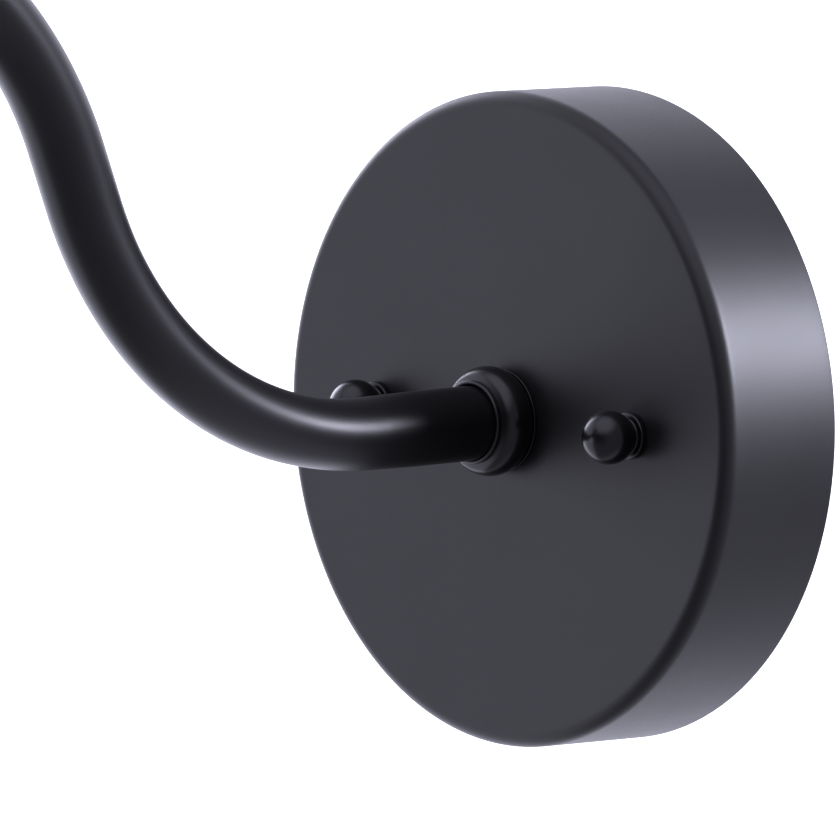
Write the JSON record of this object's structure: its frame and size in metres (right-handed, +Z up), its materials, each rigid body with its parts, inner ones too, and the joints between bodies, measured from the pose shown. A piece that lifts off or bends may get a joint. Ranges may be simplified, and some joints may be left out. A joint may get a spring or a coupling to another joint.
{
  "type": "picture light",
  "caption": "Wall picture light: round canopy with ball cap nuts, bent tube arm in a stepped collar, and a half-round shade that tilts on a knuckle over two tubular lamps.",
  "frame": {"origin": "centre of the canopy's back plane, where it meets the wall", "axes": "+Y into the wall, +Z up, +X to the right for someone facing the wall"},
  "size_m": [0.196, 0.3076, 0.178],
  "materials": {
    "black_powder_coat": "satin powder coat",
    "gloss_black_paint": "semi-gloss paint",
    "zinc_plate": "zinc-plated steel",
    "brass": "plain brass",
    "bright_aluminium": "polished sheet",
    "green_ground": "green-dyed screw",
    "green_insulation": "PVC insulation",
    "black_insulation": "PVC insulation",
    "white_insulation": "PVC insulation",
    "wire_nut_plastic": "moulded plastic",
    "black_fibre": "fibre washer",
    "black_rubber": "moulded rubber",
    "phenolic": "moulded phenolic",
    "clear_glass": "clear glass",
    "filament": "filament wire"
  },
  "bodies": {
    "wall_arm": {"canopy": "black_powder_coat", "box_strap": "zinc_plate", "fixture_strap": "zinc_plate", "strap_eyelet": "brass", "stud_left": "zinc_plate", "stud_right": "zinc_plate", "stud_locknut_left": "zinc_plate", "stud_locknut_right": "zinc_plate", "ground_screw": "green_ground", "arm_collar": "gloss_black_paint", "arm_nipple": "zinc_plate", "nipple_lock_washer": "zinc_plate", "nipple_hex_nut": "zinc_plate", "arm_tube": "black_powder_coat", "lead_live": "black_insulation", "lead_neutral": "white_insulation", "lead_ground": "green_insulation", "wire_nut_live": "wire_nut_plastic", "wire_nut_neutral": "wire_nut_plastic", "wire_nut_ground": "wire_nut_plastic", "knuckle_base": "gloss_black_paint"},
    "head": {"knuckle_fork": "gloss_black_paint", "pivot_screw": "gloss_black_paint", "friction_washer_left": "black_fibre", "friction_washer_right": "black_fibre", "fork_screw_left": "zinc_plate", "fork_screw_right": "zinc_plate", "fork_nut_left": "zinc_plate", "fork_nut_right": "zinc_plate", "shade": "black_powder_coat", "end_cap_left": "black_powder_coat", "end_cap_right": "black_powder_coat", "reflector": "bright_aluminium", "lamp_bracket": "zinc_plate", "socket_left": "phenolic", "socket_right": "phenolic", "socket_shell_left": "brass", "socket_shell_right": "brass", "socket_contact_left": "brass", "socket_contact_right": "brass", "lead_head_left": "black_insulation", "lead_head_right": "black_insulation", "lead_grommet": "black_rubber"},
    "knob": {"thumb_knob": "gloss_black_paint"},
    "ball_nut_left": {"ball_nut_left": "gloss_black_paint"},
    "ball_nut_right": {"ball_nut_right": "gloss_black_paint"},
    "lamp_left": {"lamp_base_left": "brass", "bulb_glass_left": "clear_glass", "filament_left": "filament"},
    "lamp_right": {"lamp_base_right": "brass", "bulb_glass_right": "clear_glass", "filament_right": "filament"}
  },
  "joints": [
    {"name": "head_tilt", "type": "hinge", "parent": "wall_arm", "child": "head", "pos_m": [0, -0.2865, 0.06499], "axis": [1, 0, 0], "range_deg": [-50, 45]},
    {"name": "thumb_knob_turn", "type": "hinge", "parent": "head", "child": "knob", "pos_m": [0, -0.2865, 0.06499], "axis": [1, 0, 0], "range_deg": [0, 540]},
    {"name": "ball_nut_left_turn", "type": "hinge", "parent": "wall_arm", "child": "ball_nut_left", "pos_m": [-0.0375, -0.0349, 0], "axis": [0, -1, 0], "range_deg": [0, 900]},
    {"name": "ball_nut_right_turn", "type": "hinge", "parent": "wall_arm", "child": "ball_nut_right", "pos_m": [0.0375, -0.0349, 0], "axis": [0, -1, 0], "range_deg": [0, 900]},
    {"name": "lamp_left_turn", "type": "hinge", "parent": "head", "child": "lamp_left", "pos_m": [-0.05, -0.27796, 0.02479], "axis": [-1, 0, 0], "range_deg": [0, 900]},
    {"name": "lamp_right_turn", "type": "hinge", "parent": "head", "child": "lamp_right", "pos_m": [0.05, -0.27796, 0.02479], "axis": [1, 0, 0], "range_deg": [0, 900]}
  ]
}
